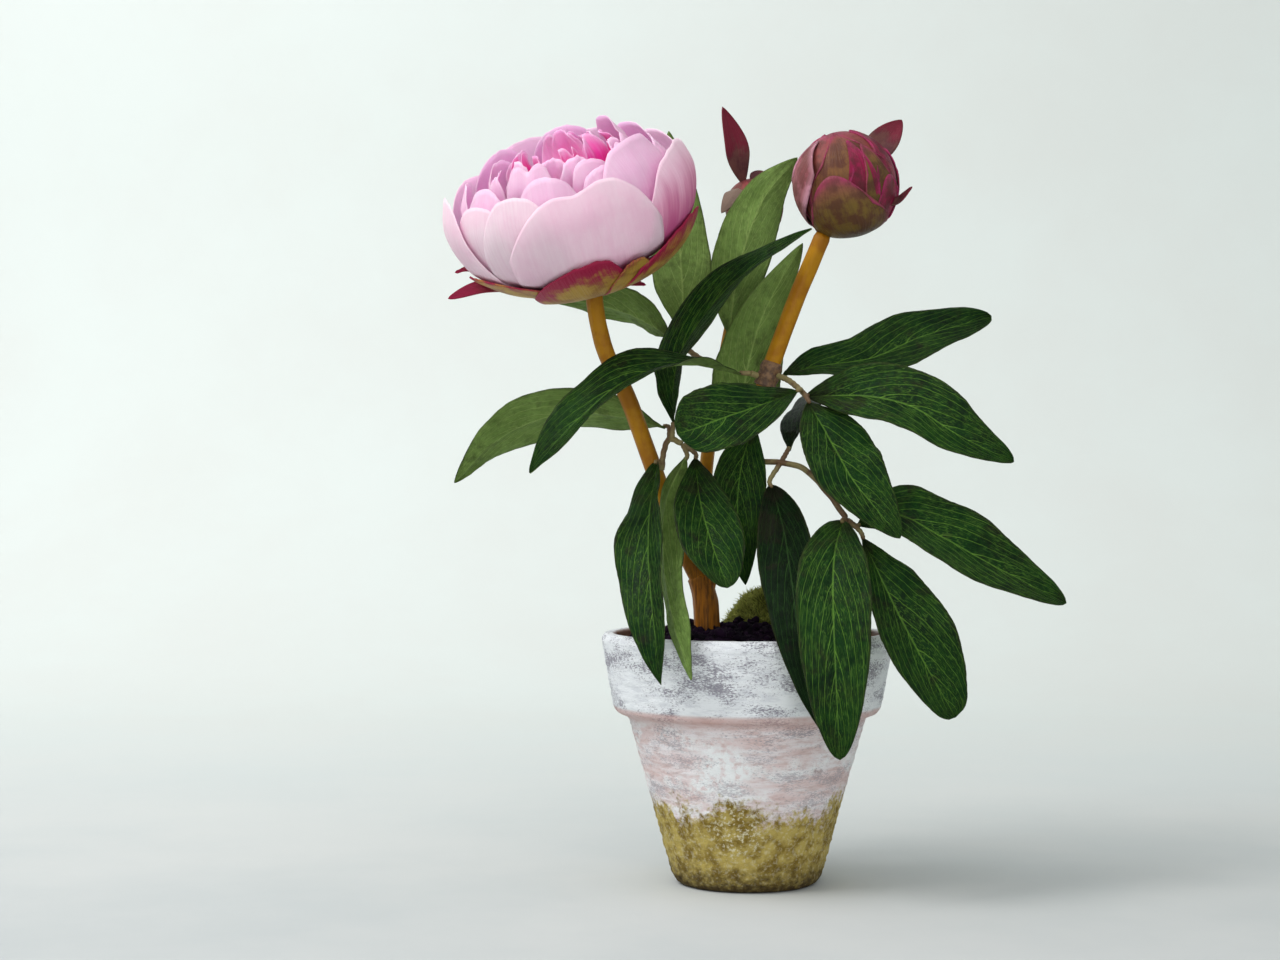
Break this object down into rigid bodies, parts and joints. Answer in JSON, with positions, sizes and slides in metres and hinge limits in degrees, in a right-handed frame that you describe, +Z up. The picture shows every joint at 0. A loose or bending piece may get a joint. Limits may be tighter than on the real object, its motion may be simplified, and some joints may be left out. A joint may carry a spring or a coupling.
{
  "type": "potted peony",
  "caption": "Peony plant in an aged round clay pot: an open double bloom, a closed bud, a smaller bud behind and long drooping leaves on curved stems, for setting on a flat surface.",
  "frame": {"origin": "centre of the whole part's outline seen from above, on the pot's axis to within the frame check's tolerance, at the level of the pot's flat foot", "axes": "+Z up along the pot's axis, which is the part's longest extent; -Y is the front, the side that the picture sees; +X is to the right in that view"},
  "size_m": [0.2593, 0.1619, 0.3383],
  "materials": {
    "pot_clay": "matt, whitewashed and weathered, mossy at the foot",
    "soil_plug": "rough, crumbly",
    "moss_cushion": "fuzzy",
    "stem_moulding": "satin",
    "leaf_stalks": "satin",
    "leaf_cloth": "printed veins, faint sheen",
    "calyx_cloth": "matt, crimson edges",
    "guard_petal_cloth": "soft, silky",
    "inner_petal_cloth": "soft, silky",
    "heart_petal_cloth": "soft, silky",
    "bud_cloth": "soft, olive and crimson"
  },
  "bodies": {
    "root": {"pot": "pot_clay", "soil": "soil_plug", "moss": "moss_cushion", "stems": "stem_moulding", "stalk_left": "leaf_stalks", "stalk_upper_left": "leaf_stalks", "stalk_front": "leaf_stalks", "stalk_right": "leaf_stalks", "stalk_lower_right": "leaf_stalks", "leaf_left_long": "leaf_cloth", "leaf_left_front": "leaf_cloth", "leaf_under_bloom": "leaf_cloth", "leaf_behind_bloom": "leaf_cloth", "leaf_crown_back": "leaf_cloth", "leaf_crown_low": "leaf_cloth", "leaf_crown_front": "leaf_cloth", "leaf_centre_front": "leaf_cloth", "leaf_left_down": "leaf_cloth", "leaf_left_narrow": "leaf_cloth", "leaf_middle_down": "leaf_cloth", "leaf_middle_back": "leaf_cloth", "leaf_right_back": "leaf_cloth", "leaf_right_front": "leaf_cloth", "leaf_right_down": "leaf_cloth", "leaf_low_shaded": "leaf_cloth", "leaf_low_front": "leaf_cloth", "leaf_low_right": "leaf_cloth", "leaf_far_right": "leaf_cloth", "leaf_right_hidden": "leaf_cloth", "bloom_calyx": "calyx_cloth", "bloom_guard_petals": "guard_petal_cloth", "bloom_inner_petals": "inner_petal_cloth", "bloom_heart_petals": "heart_petal_cloth", "bud": "bud_cloth", "back_bud": "bud_cloth"}
  },
  "joints": []
}
